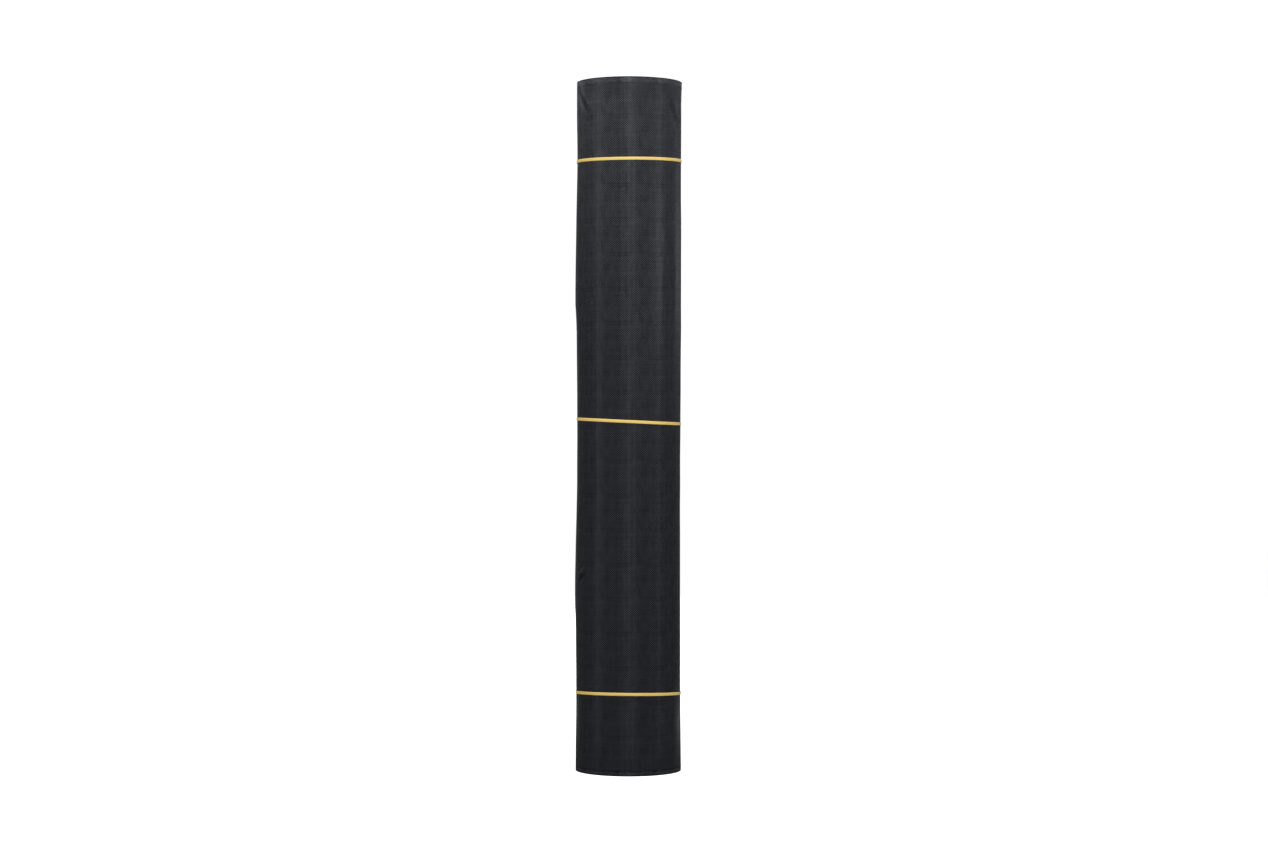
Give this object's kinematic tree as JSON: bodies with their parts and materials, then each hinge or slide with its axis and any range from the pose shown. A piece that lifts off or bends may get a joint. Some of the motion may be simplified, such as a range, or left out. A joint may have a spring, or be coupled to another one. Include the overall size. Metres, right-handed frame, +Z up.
{
  "type": "roll of insect screen mesh with tie bands",
  "caption": "Upright roll of fine charcoal woven aluminium insect screen, wound round an open core and held closed by flat tie bands.",
  "frame": {"origin": "middle of the base, on the surface that the roll stands on", "axes": "+Z up along the roll, -Y towards the side seen in the picture, +X to its right; the free edge runs up the back left, 160 degrees anticlockwise of +X seen from above"},
  "size_m": [0.142, 0.1412, 0.9144],
  "materials": {
    "screen_mesh": "charcoal baked coat on woven aluminium wire",
    "tie_band": "satin golden yellow strapping"
  },
  "bodies": {
    "root": {"mesh_roll": "screen_mesh", "tie_band_top": "tie_band", "tie_band_middle": "tie_band", "tie_band_bottom": "tie_band"}
  },
  "joints": []
}
